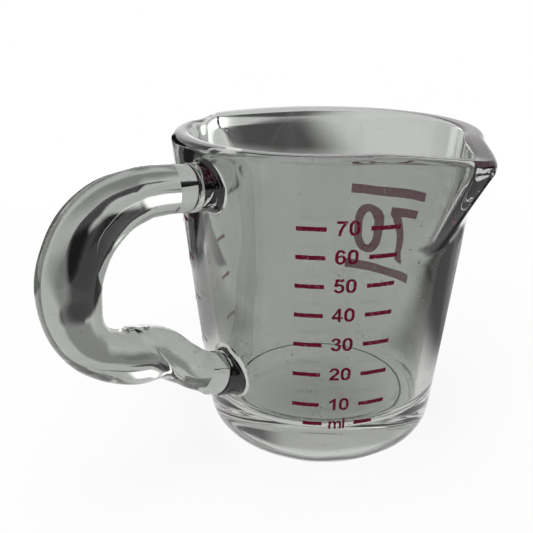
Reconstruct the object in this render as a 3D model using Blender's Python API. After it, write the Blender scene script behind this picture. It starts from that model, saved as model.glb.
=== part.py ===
"""Two-spout glass measuring jug with a bent glass rod handle and two enamel scales.

Frame: +Z up, origin at the centre of the flat underside, handle towards -X, spouts towards -Y and +Y.
An azimuth here is measured from -Y towards +X, so the handle stands at -90 degrees.
"""
import math

import bmesh
import bpy
from mathutils import Vector

MM = 0.001

# Cup: a straight-tapered wall, rounded heel, thick floor
CUP_HEIGHT = 64.0 * MM
BASE_RADIUS = 23.1 * MM          # where the wall line would meet the table
RIM_RADIUS = 30.06 * MM
HEEL_RADIUS = 7.4 * MM
FLOOR_THICKNESS = 9.5 * MM
FLOOR_FILLET = 3.6 * MM
WALL_AT_BASE = 3.3 * MM
WALL_AT_RIM = 3.8 * MM
RIM_ROUND_OUTER = 1.2 * MM
RIM_ROUND_INNER = 0.9 * MM
CUP_STEPS = 96                   # turned positions round the axis
ROUND_STEPS = 4                  # facets across a small round of the section
HEEL_STEPS = 6
SMOOTH_ROWS = 3                  # rows of facets up a plain stretch of the wall
LIP_ROWS = 7                     # and up the stretch where the lips leave it
WELD = 0.001 * MM                # points nearer than this are one point

# Pouring lips, pulled out of the turned wall on both sides
SPOUT_AZIMUTHS = (0.0, math.pi)
SPOUT_START = 45.4 * MM          # height where the lip begins to leave the wall
SPOUT_FULL = 61.7 * MM           # height where it has its whole reach
SPOUT_REACH = 7.6 * MM
SPOUT_HALF_ANGLE = math.radians(29.0)
SPOUT_FLANK = 1.76               # exponent of the flank: 1 is a straight wedge
SPOUT_NOSE = 0.03                # rounding of the tip, in radians of azimuth
SPOUT_DIP = 1.1 * MM             # the tip lies this much under the rim
CHANNEL_REACH = 7.0 * MM
CHANNEL_HALF_ANGLE = math.radians(26.5)

# Handle: centreline stations in its upright plane (reach from the axis, height, rod radius)
ROD_STATIONS = (
    (27.4 * MM, 56.8 * MM, 5.1 * MM),     # rooted in the wall
    (29.6 * MM, 57.0 * MM, 5.0 * MM),     # spread where it was pressed on the wall
    (30.6 * MM, 57.1 * MM, 4.35 * MM),
    (34.0 * MM, 57.5 * MM, 4.18 * MM),    # upper seam
    (38.5 * MM, 58.0 * MM, 4.25 * MM),
    (43.0 * MM, 58.0 * MM, 4.45 * MM),
    (50.0 * MM, 55.8 * MM, 5.05 * MM),    # thickest on the outer bend
    (55.1 * MM, 50.0 * MM, 5.2 * MM),
    (56.7 * MM, 42.4 * MM, 4.95 * MM),
    (54.8 * MM, 35.8 * MM, 4.3 * MM),
    (51.0 * MM, 32.2 * MM, 4.4 * MM),
    (46.0 * MM, 30.4 * MM, 5.05 * MM),    # first lobe of the kinked lower arm
    (40.8 * MM, 29.0 * MM, 4.6 * MM),
    (36.3 * MM, 25.5 * MM, 3.95 * MM),    # kink
    (31.5 * MM, 21.7 * MM, 4.0 * MM),
    (28.7 * MM, 20.5 * MM, 4.12 * MM),    # lower seam
    (26.7 * MM, 19.8 * MM, 4.35 * MM),
    (25.6 * MM, 19.4 * MM, 5.2 * MM),     # spread on the wall
    (23.4 * MM, 18.8 * MM, 5.2 * MM),     # rooted in the wall
)
UPPER_SEAM = 3                   # stations of the two seams
LOWER_SEAM = 15
HANDLE_AZIMUTH = math.radians(-90.0)
ROD_SAMPLES_PER_SPAN = 4
ROD_SIDES = 20
SEAM_GAP = 0.3 * MM

# Enamel scales
ENAMEL_THICKNESS = 0.12 * MM
ENAMEL_CLEARANCE = 0.06 * MM     # between the deposit and the glass under it
BAR_LENGTH = 5.05 * MM
BAR_HEIGHT = 0.78 * MM
BAR_INNER_END = 3.7 * MM         # from the scale's centre line to the near end of a bar
FIGURE_HEIGHT = 2.6 * MM
FIGURE_SPACING = 2.08 * MM
FIGURE_SMOOTHNESS = 3            # steps between two points of a figure's outline
FIGURE_SHIFT = -0.12 * MM        # the figures sit a little left of their scale's centre line
FIGURE_LIFT = 0.15 * MM          # and a little above the middle of their bars
SCALE_OFFSET = math.radians(52.15)  # from the handle to the centre line of either scale
FACET_WIDTH = 1.3 * MM           # widest flat strip of a deposit laid round the wall

# Enamel capacity mark: large figures between two heavy bars, on the side away from the handle
CAPACITY = "70"
CAPACITY_AZIMUTH = math.radians(98.0)
CAPACITY_HEIGHT = 37.0 * MM
CAPACITY_FIGURE_HEIGHT = 11.2 * MM
CAPACITY_FIGURE_SPACING = 8.9 * MM
CAPACITY_BAR_LENGTH = 20.0 * MM
CAPACITY_BAR_HEIGHT = 2.1 * MM
CAPACITY_BAR_OFFSET = 9.0 * MM   # from the middle of the figures to the middle of a bar

C = True                         # marks a sharp corner of an outline
FIGURES = {                      # bold figures, in heights of a figure, on their centre line
    "0": (((0, 1.01), (0.26, 0.90), (0.35, 0.5), (0.26, 0.10),
           (0, -0.01), (-0.26, 0.10), (-0.35, 0.5), (-0.26, 0.90)),
          ((0, 0.85), (-0.115, 0.76), (-0.15, 0.5), (-0.115, 0.24),
           (0, 0.15), (0.115, 0.24), (0.15, 0.5), (0.115, 0.76))),
    "1": (((0.02, 0, C), (0.22, 0, C), (0.22, 1, C), (0.06, 1, C), (-0.06, 0.88),
           (-0.25, 0.77, C), (-0.25, 0.60, C), (-0.10, 0.66), (0.02, 0.745, C)),),
    "2": (((-0.35, 0, C), (0.345, 0, C), (0.345, 0.18, C), (-0.04, 0.18, C), (0.03, 0.265),
           (0.20, 0.42), (0.31, 0.56), (0.345, 0.715), (0.25, 0.93), (0.01, 1.01),
           (-0.235, 0.93), (-0.335, 0.715, C), (-0.14, 0.695, C), (-0.10, 0.81), (0, 0.85),
           (0.105, 0.815), (0.145, 0.71), (0.105, 0.60), (-0.05, 0.44), (-0.27, 0.215)),),
    "3": (((-0.345, 0.255, C), (-0.145, 0.29, C), (-0.10, 0.185), (0, 0.14), (0.105, 0.185),
           (0.145, 0.295), (0.11, 0.405), (0, 0.45), (-0.07, 0.445, C), (-0.045, 0.605, C),
           (0.06, 0.635), (0.11, 0.735), (0.08, 0.825), (-0.005, 0.855), (-0.09, 0.82),
           (-0.135, 0.72, C), (-0.32, 0.755, C), (-0.21, 0.945), (0, 1.01), (0.235, 0.92),
           (0.315, 0.74), (0.265, 0.61), (0.165, 0.545, C), (0.30, 0.455), (0.35, 0.29),
           (0.25, 0.075), (0, -0.01), (-0.245, 0.07)),),
    "4": (((0.04, 1, C), (0.22, 1, C), (0.22, 0.37, C), (0.36, 0.37, C), (0.36, 0.20, C),
           (0.22, 0.20, C), (0.22, 0, C), (0.03, 0, C), (0.03, 0.20, C), (-0.37, 0.20, C),
           (-0.37, 0.36, C)),
          ((0.03, 0.37, C), (-0.19, 0.37, C), (0.03, 0.71, C))),
    "5": (((-0.235, 1, C), (0.30, 1, C), (0.30, 0.825, C), (-0.085, 0.825, C),
           (-0.12, 0.635, C), (0.03, 0.665), (0.25, 0.575), (0.35, 0.34), (0.25, 0.085),
           (-0.005, -0.01), (-0.25, 0.07), (-0.355, 0.255, C), (-0.155, 0.275, C),
           (-0.10, 0.18), (0, 0.14), (0.115, 0.20), (0.15, 0.335), (0.115, 0.46),
           (-0.005, 0.51), (-0.155, 0.44, C), (-0.325, 0.47, C)),),
    "6": (((0.02, 1.01), (-0.26, 0.87), (-0.36, 0.49), (-0.27, 0.12), (0, -0.01),
           (0.25, 0.09), (0.345, 0.325), (0.26, 0.56), (0.05, 0.645), (-0.155, 0.555, C),
           (-0.11, 0.79), (0.03, 0.855), (0.13, 0.74, C), (0.32, 0.76, C), (0.22, 0.94)),
          ((0, 0.50), (-0.11, 0.44), (-0.147, 0.33), (-0.12, 0.21), (0, 0.14), (0.12, 0.21),
           (0.147, 0.32), (0.12, 0.43))),
    "7": (((-0.34, 1, C), (0.34, 1, C), (0.34, 0.86, C), (0.13, 0.58), (0, 0.28),
           (-0.05, 0, C), (-0.25, 0, C), (-0.17, 0.36), (0.08, 0.825, C),
           (-0.34, 0.825, C)),),
}
ML_ROWS = (10, 20, 30, 40, 50, 60, 70)
OUNCE_ML = 29.5735
OUNCE_ROWS = (("half", 0.5), ("one", 1.0), ("one_half", 1.5), ("two", 2.0))
OUNCE_FIGURES = {"one": "1", "two": "2"}   # only the whole ounces are numbered
CUBIC_METRE_PER_ML = 1.0e-6
LEVEL_STEP = 0.02 * MM           # slice of liquid used to find a mark's height

GLASS_COLOUR = (0.80, 0.84, 0.82, 1.0)
ENAMEL_COLOUR = (0.125, 0.006, 0.028, 1.0)


def clear_scene():
    for item in list(bpy.data.objects):
        bpy.data.objects.remove(item, do_unlink=True)


def principled(name, colour, roughness, transmission=0.0):
    material = bpy.data.materials.new(name)
    material.use_nodes = True
    shader = material.node_tree.nodes["Principled BSDF"]
    shader.inputs["Base Color"].default_value = colour
    shader.inputs["Roughness"].default_value = roughness
    shader.inputs["Metallic"].default_value = 0.0
    shader.inputs["Transmission Weight"].default_value = transmission
    material.diffuse_color = colour
    return material


def new_object(name, bm, material, smooth_angle=math.radians(35.0)):
    mesh = bpy.data.meshes.new(name)
    bm.to_mesh(mesh)
    bm.free()
    mesh.shade_smooth()
    mesh.set_sharp_from_angle(angle=smooth_angle)
    mesh.materials.append(material)
    item = bpy.data.objects.new(name, mesh)
    bpy.context.scene.collection.objects.link(item)
    return item


def direction(azimuth):
    return Vector((math.sin(azimuth), -math.cos(azimuth), 0.0))


def wrapped(angle):
    return (angle + math.pi) % (2.0 * math.pi) - math.pi


# ---- cup ---------------------------------------------------------------------------------------

def outer_wall_radius(height):
    return BASE_RADIUS + (RIM_RADIUS - BASE_RADIUS) * height / CUP_HEIGHT


def wall_thickness(height):
    return WALL_AT_BASE + (WALL_AT_RIM - WALL_AT_BASE) * height / CUP_HEIGHT


def inner_wall_radius(height):
    return outer_wall_radius(height) - wall_thickness(height)


def arc(centre_radius, centre_height, radius, start, end, steps):
    """Points (radius, height) on a round, from one angle to the other, both ends included."""
    points = []
    for step in range(steps + 1):
        angle = start + (end - start) * step / steps
        points.append((centre_radius + radius * math.cos(angle),
                       centre_height + radius * math.sin(angle)))
    return points


def wall_line(radius_at, start, end, steps):
    """Points on the wall strictly between two heights."""
    points = []
    for step in range(1, steps):
        height = start + (end - start) * step / steps
        points.append((radius_at(height), height))
    return points


def cup_profile():
    """The half section from the axis under the floor, over the rim, to the axis on the floor."""
    taper = math.atan2(RIM_RADIUS - BASE_RADIUS, CUP_HEIGHT)
    heel_centre = outer_wall_radius(HEEL_RADIUS) - HEEL_RADIUS / math.cos(taper)
    heel = arc(heel_centre, HEEL_RADIUS, HEEL_RADIUS, math.radians(-90.0), -taper,
               HEEL_STEPS)

    rim_height = CUP_HEIGHT - RIM_ROUND_OUTER
    outer_round = arc(outer_wall_radius(rim_height) - RIM_ROUND_OUTER, rim_height, RIM_ROUND_OUTER,
                      0.0, math.radians(90.0), ROUND_STEPS)
    lip_height = CUP_HEIGHT - RIM_ROUND_INNER
    inner_round = arc(inner_wall_radius(lip_height) + RIM_ROUND_INNER, lip_height, RIM_ROUND_INNER,
                      math.radians(90.0), math.radians(180.0), ROUND_STEPS - 1)

    fillet_height = FLOOR_THICKNESS + FLOOR_FILLET
    fillet = arc(inner_wall_radius(fillet_height) - FLOOR_FILLET, fillet_height, FLOOR_FILLET,
                 0.0, math.radians(-90.0), ROUND_STEPS)

    profile = [(0.0, 0.0), (heel_centre * 0.5, 0.0)] + heel
    profile += wall_line(outer_wall_radius, heel[-1][1], SPOUT_START, SMOOTH_ROWS + 1)
    profile.append((outer_wall_radius(SPOUT_START), SPOUT_START))
    profile += wall_line(outer_wall_radius, SPOUT_START, rim_height, LIP_ROWS)
    profile += outer_round + inner_round
    profile += wall_line(inner_wall_radius, lip_height, SPOUT_START, LIP_ROWS)
    profile.append((inner_wall_radius(SPOUT_START), SPOUT_START))
    profile += wall_line(inner_wall_radius, SPOUT_START, fillet_height, SMOOTH_ROWS)
    profile += fillet + [(fillet[-1][0] * 0.5, FLOOR_THICKNESS), (0.0, FLOOR_THICKNESS)]
    return profile


def wedge(azimuth, half_angle):
    """1 on a spout's centre line, falling to 0 at its half angle."""
    away = min(abs(wrapped(azimuth - spout)) for spout in SPOUT_AZIMUTHS)
    away = math.hypot(away, SPOUT_NOSE) - SPOUT_NOSE
    return max(1.0 - away / half_angle, 0.0) ** SPOUT_FLANK


def lip_pull(azimuth, height, depth):
    """How far a point of the wall moves out; depth is 0 on the outside and 1 on the inside."""
    lift = (height - SPOUT_START) / (SPOUT_FULL - SPOUT_START)
    lift = min(max(lift, 0.0), 1.0)
    outside = SPOUT_REACH * wedge(azimuth, SPOUT_HALF_ANGLE)
    inside = CHANNEL_REACH * wedge(azimuth, CHANNEL_HALF_ANGLE)
    return lift * (outside + (inside - outside) * depth)


def lip_dip(azimuth, height):
    lift = (height - SPOUT_START) / (CUP_HEIGHT - SPOUT_START)
    return SPOUT_DIP * min(max(lift, 0.0), 1.0) * wedge(azimuth, SPOUT_HALF_ANGLE)


def outer_surface_radius(azimuth, height):
    return outer_wall_radius(height) + lip_pull(azimuth, height, 0.0)


def build_cup(material):
    bm = bmesh.new()
    points = [bm.verts.new((0.0, -radius, height)) for radius, height in cup_profile()]
    edges = [bm.edges.new(pair) for pair in zip(points[:-1], points[1:])]
    bmesh.ops.spin(bm, geom=points + edges, cent=(0.0, 0.0, 0.0), axis=(0.0, 0.0, 1.0),
                   angle=2.0 * math.pi, steps=CUP_STEPS, use_merge=True)
    bmesh.ops.remove_doubles(bm, verts=bm.verts, dist=WELD)
    for vert in bm.verts:
        radius = math.hypot(vert.co.x, vert.co.y)
        height = vert.co.z
        if height <= SPOUT_START:
            continue
        azimuth = math.atan2(vert.co.x, -vert.co.y)
        depth = (outer_wall_radius(height) - radius) / wall_thickness(height)
        depth = min(max(depth, 0.0), 1.0)
        place = direction(azimuth) * (radius + lip_pull(azimuth, height, depth))
        place.z = height - lip_dip(azimuth, height)
        vert.co = place
    bmesh.ops.recalc_face_normals(bm, faces=bm.faces)
    return new_object("cup_body", bm, material)


# ---- handle ------------------------------------------------------------------------------------

def rod_slopes(stations):
    """Slope at each station, per unit of chord length."""
    chords = [math.dist(a[:2], b[:2]) for a, b in zip(stations[:-1], stations[1:])]
    steps = [[(v - u) / chord for u, v in zip(a, b)]
             for a, b, chord in zip(stations[:-1], stations[1:], chords)]
    slopes = [steps[0]]
    for index in range(1, len(stations) - 1):
        before = chords[index - 1]
        after = chords[index]
        slopes.append([(u * after + v * before) / (before + after)
                       for u, v in zip(steps[index - 1], steps[index])])
    slopes.append(steps[-1])
    return chords, slopes


def rod_samples():
    """(reach, height, radius) along a smooth curve through the stations."""
    chords, slopes = rod_slopes(ROD_STATIONS)
    samples = []
    for index, chord in enumerate(chords):
        for step in range(ROD_SAMPLES_PER_SPAN):
            t = step / ROD_SAMPLES_PER_SPAN
            samples.append([
                (2 * t ** 3 - 3 * t ** 2 + 1) * a + (t ** 3 - 2 * t ** 2 + t) * chord * ma
                + (3 * t ** 2 - 2 * t ** 3) * b + (t ** 3 - t ** 2) * chord * mb
                for a, b, ma, mb in zip(ROD_STATIONS[index], ROD_STATIONS[index + 1],
                                        slopes[index], slopes[index + 1])])
    samples.append(list(ROD_STATIONS[-1]))
    return samples


def rod_stretch(first, last, trim):
    """Samples and headings from one station to another, cut back by trim at both ends."""
    samples = rod_samples()
    headings = []
    for index in range(len(samples)):
        ahead = samples[min(index + 1, len(samples) - 1)]
        behind = samples[max(index - 1, 0)]
        headings.append(Vector((ahead[0] - behind[0], ahead[1] - behind[1])).normalized())
    start = first * ROD_SAMPLES_PER_SPAN
    end = last * ROD_SAMPLES_PER_SPAN + 1
    samples = samples[start:end]
    headings = headings[start:end]
    for place, side in ((0, 1.0), (-1, -1.0)):
        samples[place][0] += headings[place].x * trim * side
        samples[place][1] += headings[place].y * trim * side
    return samples, headings


def rod_mesh(samples, headings):
    """A round rod with closed ends along the samples, in the handle's upright plane."""
    outward = direction(HANDLE_AZIMUTH)
    upward = Vector((0.0, 0.0, 1.0))
    across = Vector((-outward.y, outward.x, 0.0))
    bm = bmesh.new()
    rings = []
    for (reach, height, radius), heading in zip(samples, headings):
        centre = outward * reach + upward * height
        side = across.cross(outward * heading.x + upward * heading.y)
        ring = []
        for step in range(ROD_SIDES):
            angle = 2.0 * math.pi * step / ROD_SIDES
            offset = side * math.cos(angle) + across * math.sin(angle)
            ring.append(bm.verts.new(centre + offset * radius))
        rings.append(ring)
    for before, after in zip(rings[:-1], rings[1:]):
        for step in range(ROD_SIDES):
            following = (step + 1) % ROD_SIDES
            bm.faces.new((before[step], before[following], after[following], after[step]))
    bm.faces.new(rings[0])
    bm.faces.new(rings[-1])
    bmesh.ops.recalc_face_normals(bm, faces=bm.faces)
    return bm


def build_handle(material):
    """The bent rod between its two seams."""
    samples, headings = rod_stretch(UPPER_SEAM, LOWER_SEAM, SEAM_GAP)
    return new_object("handle", rod_mesh(samples, headings), material)


def join_rod_roots(cup, material):
    """The rod's two feet, melted into the wall and so one piece with the cup."""
    last = len(ROD_STATIONS) - 1
    for name, first_station, last_station in (("upper_foot", 0, UPPER_SEAM),
                                              ("lower_foot", LOWER_SEAM, last)):
        samples, headings = rod_stretch(first_station, last_station, 0.0)
        foot = new_object(name, rod_mesh(samples, headings), material)
        foot.hide_render = True
        foot.display_type = "WIRE"
        union = cup.modifiers.new(name, "BOOLEAN")
        union.operation = "UNION"
        union.solver = "EXACT"
        union.object = foot


# ---- enamel ------------------------------------------------------------------------------------

def mark_height(volume):
    """Height of the surface of a volume of liquid standing in the cup."""
    section = [point for point in cup_profile() if point[1] >= FLOOR_THICKNESS]
    section.reverse()
    height = FLOOR_THICKNESS
    held = 0.0
    while held < volume:
        height += LEVEL_STEP
        radius = inner_radius_at(section, height)
        held += math.pi * radius ** 2 * LEVEL_STEP
    return height


def inner_radius_at(section, height):
    """Radius of the inside at a height, read from the half section, floor first."""
    for (radius_low, low), (radius_high, high) in zip(section[:-1], section[1:]):
        if low <= height <= high and high > low:
            return radius_low + (radius_high - radius_low) * (height - low) / (high - low)
    return inner_wall_radius(height)


def lay_on_wall(bm, scale_azimuth, row_height):
    """Wrap a flat deposit (x along the wall, y up, z out) on to the outside of the cup."""
    radius_here = outer_wall_radius(row_height)
    for vert in bm.verts:
        along, up, out = vert.co
        azimuth = scale_azimuth + along / radius_here
        height = row_height + up
        radius = outer_surface_radius(azimuth, height) + ENAMEL_CLEARANCE + out
        vert.co = direction(azimuth) * radius + Vector((0.0, 0.0, height))


def enamel_bar(name, length, height, middle, scale_azimuth, row_height, material):
    """A bar round the wall; middle is its centre, measured along the wall from the scale's line."""
    bm = bmesh.new()
    bmesh.ops.create_cube(bm, size=1.0)
    lengthwise = [edge for edge in bm.edges
                  if abs(edge.verts[0].co.x - edge.verts[1].co.x) > 0.5]
    strips = math.ceil(length / FACET_WIDTH)
    bmesh.ops.subdivide_edges(bm, edges=lengthwise, cuts=strips - 1, use_grid_fill=True)
    bmesh.ops.scale(bm, vec=(length, height, ENAMEL_THICKNESS), verts=bm.verts)
    bmesh.ops.translate(bm, vec=(middle, 0.0, ENAMEL_THICKNESS / 2.0), verts=bm.verts)
    lay_on_wall(bm, scale_azimuth, row_height)
    return new_object(name, bm, material)


def figure_mesh(figure, height):
    """A flat figure as a closed slab, its foot on the X axis and its face towards +Z."""
    curve = bpy.data.curves.new("figure_" + figure, "CURVE")
    curve.dimensions = "2D"
    curve.fill_mode = "BOTH"
    curve.resolution_u = FIGURE_SMOOTHNESS
    curve.extrude = ENAMEL_THICKNESS / 2.0
    for outline in FIGURES[figure]:
        spline = curve.splines.new("BEZIER")
        spline.bezier_points.add(len(outline) - 1)
        spline.use_cyclic_u = True
        for point, spot in zip(spline.bezier_points, outline):
            point.co = (spot[0] * height, spot[1] * height, 0.0)
            handle = "VECTOR" if C in spot[2:] else "AUTO"
            point.handle_left_type = handle
            point.handle_right_type = handle
    flat = bpy.data.objects.new("figure_" + figure, curve)
    bpy.context.scene.collection.objects.link(flat)
    depsgraph = bpy.context.evaluated_depsgraph_get()
    mesh = bpy.data.meshes.new_from_object(flat.evaluated_get(depsgraph))
    bpy.data.objects.remove(flat, do_unlink=True)
    return mesh


def enamel_figure(name, figure, height, offset, scale_azimuth, row_height, material):
    bm = bmesh.new()
    bm.from_mesh(figure_mesh(figure, height))
    bmesh.ops.remove_doubles(bm, verts=bm.verts, dist=WELD)
    strips = math.ceil(height / FACET_WIDTH)
    for step in range(1, strips):
        cut = (step / strips - 0.5) * height
        bmesh.ops.bisect_plane(bm, geom=bm.verts[:] + bm.edges[:] + bm.faces[:],
                               plane_co=(cut, 0.0, 0.0), plane_no=(1.0, 0.0, 0.0))
    bmesh.ops.triangulate(bm, faces=bm.faces)
    bmesh.ops.recalc_face_normals(bm, faces=bm.faces)
    bmesh.ops.translate(bm, vec=(offset, -height / 2.0, ENAMEL_THICKNESS / 2.0), verts=bm.verts)
    lay_on_wall(bm, scale_azimuth, row_height)
    return new_object(name, bm, material)


def row_bars(prefix, azimuth, height, material):
    """The two bars of a row, one on each side of its figures."""
    for side, word in ((-1, "left"), (1, "right")):
        middle = side * (BAR_INNER_END + BAR_LENGTH / 2.0)
        enamel_bar(f"{prefix}_{word}", BAR_LENGTH, BAR_HEIGHT, middle, azimuth, height, material)


def build_ml_scale(material):
    azimuth = HANDLE_AZIMUTH + SCALE_OFFSET
    for ml in ML_ROWS:
        height = mark_height(ml * CUBIC_METRE_PER_ML)
        row_bars(f"ml_bar_{ml}", azimuth, height, material)
        for place, (figure, word) in enumerate(zip(str(ml), ("tens", "units"))):
            offset = (place - 0.5) * FIGURE_SPACING + FIGURE_SHIFT
            enamel_figure(f"ml_figure_{ml}_{word}", figure, FIGURE_HEIGHT, offset, azimuth,
                          height + FIGURE_LIFT, material)


def build_ounce_scale(material):
    azimuth = HANDLE_AZIMUTH - SCALE_OFFSET
    for row, ounces in OUNCE_ROWS:
        height = mark_height(ounces * OUNCE_ML * CUBIC_METRE_PER_ML)
        row_bars(f"oz_bar_{row}", azimuth, height, material)
        if row in OUNCE_FIGURES:
            enamel_figure(f"oz_figure_{row}", OUNCE_FIGURES[row], FIGURE_HEIGHT, 0.0, azimuth,
                          height + FIGURE_LIFT, material)


def build_capacity_mark(material):
    for side, word in ((-1, "lower"), (1, "upper")):
        height = CAPACITY_HEIGHT + side * CAPACITY_BAR_OFFSET
        enamel_bar(f"capacity_bar_{word}", CAPACITY_BAR_LENGTH, CAPACITY_BAR_HEIGHT, 0.0,
                   CAPACITY_AZIMUTH, height, material)
    for place, (figure, word) in enumerate(zip(CAPACITY, ("tens", "units"))):
        offset = (place - 0.5) * CAPACITY_FIGURE_SPACING
        enamel_figure(f"capacity_figure_{word}", figure, CAPACITY_FIGURE_HEIGHT, offset,
                      CAPACITY_AZIMUTH, CAPACITY_HEIGHT, material)


clear_scene()
glass = principled("clear_glass", GLASS_COLOUR, roughness=0.03, transmission=0.9)
enamel = principled("burgundy_enamel", ENAMEL_COLOUR, roughness=0.45)
cup_body = build_cup(glass)
join_rod_roots(cup_body, glass)
build_handle(glass)
build_ml_scale(enamel)
build_ounce_scale(enamel)
build_capacity_mark(enamel)
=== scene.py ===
import math

import bpy
from mathutils import Matrix, Vector, noise


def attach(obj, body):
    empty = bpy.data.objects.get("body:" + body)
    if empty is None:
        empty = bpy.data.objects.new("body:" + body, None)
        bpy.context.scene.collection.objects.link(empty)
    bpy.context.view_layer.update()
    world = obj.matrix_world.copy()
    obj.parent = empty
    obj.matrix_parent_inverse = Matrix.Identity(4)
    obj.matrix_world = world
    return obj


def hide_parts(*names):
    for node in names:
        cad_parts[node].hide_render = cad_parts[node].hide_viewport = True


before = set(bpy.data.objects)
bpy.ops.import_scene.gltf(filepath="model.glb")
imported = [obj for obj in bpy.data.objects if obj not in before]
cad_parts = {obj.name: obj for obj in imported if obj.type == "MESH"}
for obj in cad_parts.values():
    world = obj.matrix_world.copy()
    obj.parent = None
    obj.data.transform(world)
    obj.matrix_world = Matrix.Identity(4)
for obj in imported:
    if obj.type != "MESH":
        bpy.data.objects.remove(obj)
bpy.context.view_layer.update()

MM = 0.001

# ---- The view ----------------------------------------------------------------------------------
# The jug is seen from a little above, with its handle to the left and one pouring lip to the right.
VIEW_PLACE = (-103.0 * MM, -97.5 * MM, 87.2 * MM)
VIEW_TILT = math.radians(20.26)
VIEW_HEADING = math.radians(-41.92)
VIEW_ROLL = math.radians(-0.22)
VIEW_LENS = 48.81

bpy.ops.object.camera_add(location=VIEW_PLACE)
camera = bpy.context.object
camera.name = "view"
camera.matrix_world = (Matrix.Translation(VIEW_PLACE)
                       @ Matrix.Rotation(VIEW_HEADING, 4, "Z")
                       @ Matrix.Rotation(math.radians(90.0) - VIEW_TILT, 4, "X")
                       @ Matrix.Rotation(VIEW_ROLL, 4, "Z"))
camera.data.lens = VIEW_LENS
camera.data.sensor_width = 36.0
camera.data.clip_start = 1.0 * MM
bpy.context.scene.camera = camera


# ---- Cup ---------------------------------------------------------------------------------------
# The cup is one pressing of soda-lime glass: a tapered wall, a thick floor and a rounded heel.
# Its rim is fire polished, and the two lips are pulled out of it opposite each other while hot.
CUP_HEIGHT = 64.0 * MM
BASE_RADIUS = 23.1 * MM
RIM_RADIUS = 30.06 * MM
HEEL_RADIUS = 7.4 * MM
FLOOR_THICKNESS = 9.5 * MM
FLOOR_FILLET = 3.6 * MM
WALL_AT_BASE = 3.3 * MM
WALL_AT_RIM = 3.8 * MM
RIM_ROUND_OUTER = 1.2 * MM
RIM_ROUND_INNER = 0.9 * MM
SPOUT_START = 45.4 * MM          # height where a lip starts to leave the wall
SPOUT_FULL = 61.7 * MM           # height where it has its full reach
SPOUT_REACH = 7.6 * MM
SPOUT_HALF_ANGLE = math.radians(29.0)
SPOUT_FLANK = 1.76               # over 1 the flanks of a lip are hollow
SPOUT_NOSE = 0.03                # rounding of its tip, in radians
SPOUT_DIP = 1.1 * MM             # its tip lies this much lower than the rim
CHANNEL_REACH = 7.0 * MM         # the same lip on the inside of the wall
CHANNEL_HALF_ANGLE = math.radians(26.5)
FLOOR_RING_RADIUS = 16.4 * MM    # a low round ring that the plunger left on the floor inside
FLOOR_RING_HEIGHT = 0.28 * MM
FLOOR_RING_WIDTH = 0.80 * MM
HEEL_WAVE = 0.12 * MM            # unevenness of the heel
HEEL_ROUGHNESS = 210.0           # how closely the unevenness follows itself, per metre
CUP_STEPS = 240                  # points round the axis; the next ones count rings up and down
HEEL_STEPS = 18
OUTSIDE_STEPS = 44
RIM_OUTER_STEPS = 8
RIM_INNER_STEPS = 7
INSIDE_STEPS = 40
FILLET_STEPS = 12
FLOOR_RING_STEPS = 4             # to each width of the floor ring
UNDERSIDE_SHARES = (0.25, 0.5, 0.75, 0.92)
FLOOR_SHARES = (0.8, 0.6, 0.35, 0.15)
SAME_HEIGHT = 0.01 * MM          # points closer in height than this are level


def deselect_all():
    if bpy.context.object and bpy.context.object.mode != "OBJECT":
        bpy.ops.object.mode_set(mode="OBJECT")
    bpy.ops.object.select_all(action="DESELECT")


def outer_wall(height):
    return BASE_RADIUS + (RIM_RADIUS - BASE_RADIUS) * height / CUP_HEIGHT


def wall_depth(height):
    return WALL_AT_BASE + (WALL_AT_RIM - WALL_AT_BASE) * height / CUP_HEIGHT


def inner_wall(height):
    return outer_wall(height) - wall_depth(height)


def arc(centre_radius, centre_height, radius, start, end, steps):
    turns = [math.radians(start + (end - start) * step / steps) for step in range(steps + 1)]
    return [(centre_radius + radius * math.cos(turn), centre_height + radius * math.sin(turn))
            for turn in turns]


def straight(radius_at, start, end, steps):
    heights = [start + (end - start) * step / steps for step in range(1, steps)]
    return [(radius_at(height), height) for height in heights]


def cup_section():
    """Radius and height of each ring, from under the floor over the rim to the floor inside."""
    taper = math.degrees(math.atan2(RIM_RADIUS - BASE_RADIUS, CUP_HEIGHT))
    heel_centre = outer_wall(HEEL_RADIUS) - HEEL_RADIUS / math.cos(math.radians(taper))
    rim_height = CUP_HEIGHT - RIM_ROUND_OUTER
    lip_height = CUP_HEIGHT - RIM_ROUND_INNER
    fillet_height = FLOOR_THICKNESS + FLOOR_FILLET
    fillet_centre = inner_wall(fillet_height) - FLOOR_FILLET
    section = [(heel_centre * share, 0.0) for share in UNDERSIDE_SHARES]
    section += arc(heel_centre, HEEL_RADIUS, HEEL_RADIUS, -90.0, -taper, HEEL_STEPS)
    section += straight(outer_wall, section[-1][1], rim_height, OUTSIDE_STEPS)
    section += arc(outer_wall(rim_height) - RIM_ROUND_OUTER, rim_height, RIM_ROUND_OUTER,
                   0.0, 90.0, RIM_OUTER_STEPS)
    section += arc(inner_wall(lip_height) + RIM_ROUND_INNER, lip_height, RIM_ROUND_INNER,
                   90.0, 180.0, RIM_INNER_STEPS)
    section += straight(inner_wall, lip_height, fillet_height, INSIDE_STEPS)
    section += arc(fillet_centre, fillet_height, FLOOR_FILLET, 0.0, -90.0, FILLET_STEPS)
    section += [(FLOOR_RING_RADIUS + FLOOR_RING_WIDTH * step / FLOOR_RING_STEPS, FLOOR_THICKNESS)
                for step in range(2 * FLOOR_RING_STEPS, -2 * FLOOR_RING_STEPS - 1, -1)]
    section += [(fillet_centre * share, FLOOR_THICKNESS) for share in FLOOR_SHARES]
    return section


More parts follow.
